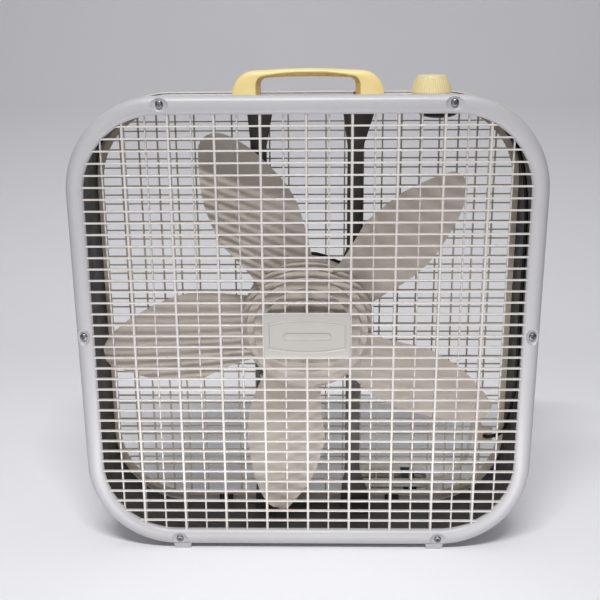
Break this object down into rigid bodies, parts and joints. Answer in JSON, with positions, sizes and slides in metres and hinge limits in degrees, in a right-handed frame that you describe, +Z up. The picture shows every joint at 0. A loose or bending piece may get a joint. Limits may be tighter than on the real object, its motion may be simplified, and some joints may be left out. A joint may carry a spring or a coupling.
{
  "type": "box fan",
  "caption": "Square portable box fan with open front and rear grilles, a ducted axial blade, a top carrying handle, a rotary speed knob and a folded power cord.",
  "frame": {"origin": "on the floor below the middle of the case, cord left out", "axes": "+Z up, the front (air outlet) faces -Y, +X to the right as seen from the front"},
  "size_m": [0.5284, 0.1911, 0.568],
  "materials": {
    "front_moulding": "glossy white moulded plastic",
    "rear_moulding": "yellowed white moulded plastic",
    "case_paint": "painted sheet steel, dark inside",
    "strut_steel": "dark painted sheet steel",
    "blade_plastic": "greige moulded plastic, satin",
    "ivory_plastic": "glossy ivory plastic",
    "motor_black": "black enamel",
    "lamination": "stacked electrical steel",
    "copper": "varnished copper wire",
    "bare_steel": "ground steel",
    "zinc": "zinc plated steel",
    "aluminium": "die-cast aluminium",
    "black_plastic": "black plastic",
    "cord_white": "white flexible vinyl",
    "brass": "nickel-free brass"
  },
  "bodies": {
    "case": {"front_grille": "front_moulding", "rear_grille": "rear_moulding", "case_band": "case_paint", "motor_bell_front": "motor_black", "motor_bell_rear": "motor_black", "stator_core": "lamination", "winding_front": "copper", "winding_rear": "copper", "bearing_front": "bare_steel", "bearing_rear": "bare_steel", "motor_bracket": "strut_steel", "strut_left": "strut_steel", "strut_right": "strut_steel", "handle": "ivory_plastic", "handle_screw_left": "zinc", "handle_screw_right": "zinc", "rotary_switch": "black_plastic", "switch_nut": "zinc", "switch_cover": "black_plastic", "run_capacitor": "black_plastic", "supply_lead": "black_plastic", "motor_lead": "black_plastic", "cord_relief": "cord_white", "cord_tube": "cord_white", "cord_hank": "cord_white", "cord_tie": "black_plastic", "plug_body": "cord_white", "plug_prong_wide": "brass", "plug_prong_narrow": "brass", "motor_bolt_1": "zinc", "strut_screw_1": "zinc", "bracket_screw_1": "zinc", "motor_bolt_2": "zinc", "strut_screw_2": "zinc", "bracket_screw_2": "zinc", "motor_bolt_3": "zinc", "strut_screw_3": "zinc", "bracket_screw_3": "zinc", "motor_bolt_4": "zinc", "strut_screw_4": "zinc", "bracket_screw_4": "zinc", "front_screw_1": "zinc", "rear_screw_1": "zinc", "front_screw_2": "zinc", "rear_screw_2": "zinc", "front_screw_3": "zinc", "rear_screw_3": "zinc", "front_screw_4": "zinc", "rear_screw_4": "zinc", "front_screw_5": "zinc", "rear_screw_5": "zinc", "front_screw_6": "zinc", "rear_screw_6": "zinc"},
    "rotor": {"fan_blade": "blade_plastic", "motor_shaft": "bare_steel", "blade_clip": "zinc", "rotor_core": "aluminium"},
    "knob": {"speed_knob": "ivory_plastic", "switch_stem": "bare_steel"}
  },
  "joints": [
    {"name": "fan_spin", "type": "hinge", "parent": "case", "child": "rotor", "pos_m": [0, 0, 0.273], "axis": [0, 1, 0], "continuous": true},
    {"name": "knob_turn", "type": "hinge", "parent": "case", "child": "knob", "pos_m": [0.1385, 0, 0.5395], "axis": [0, 0, 1], "range_deg": [-135, 0]}
  ]
}
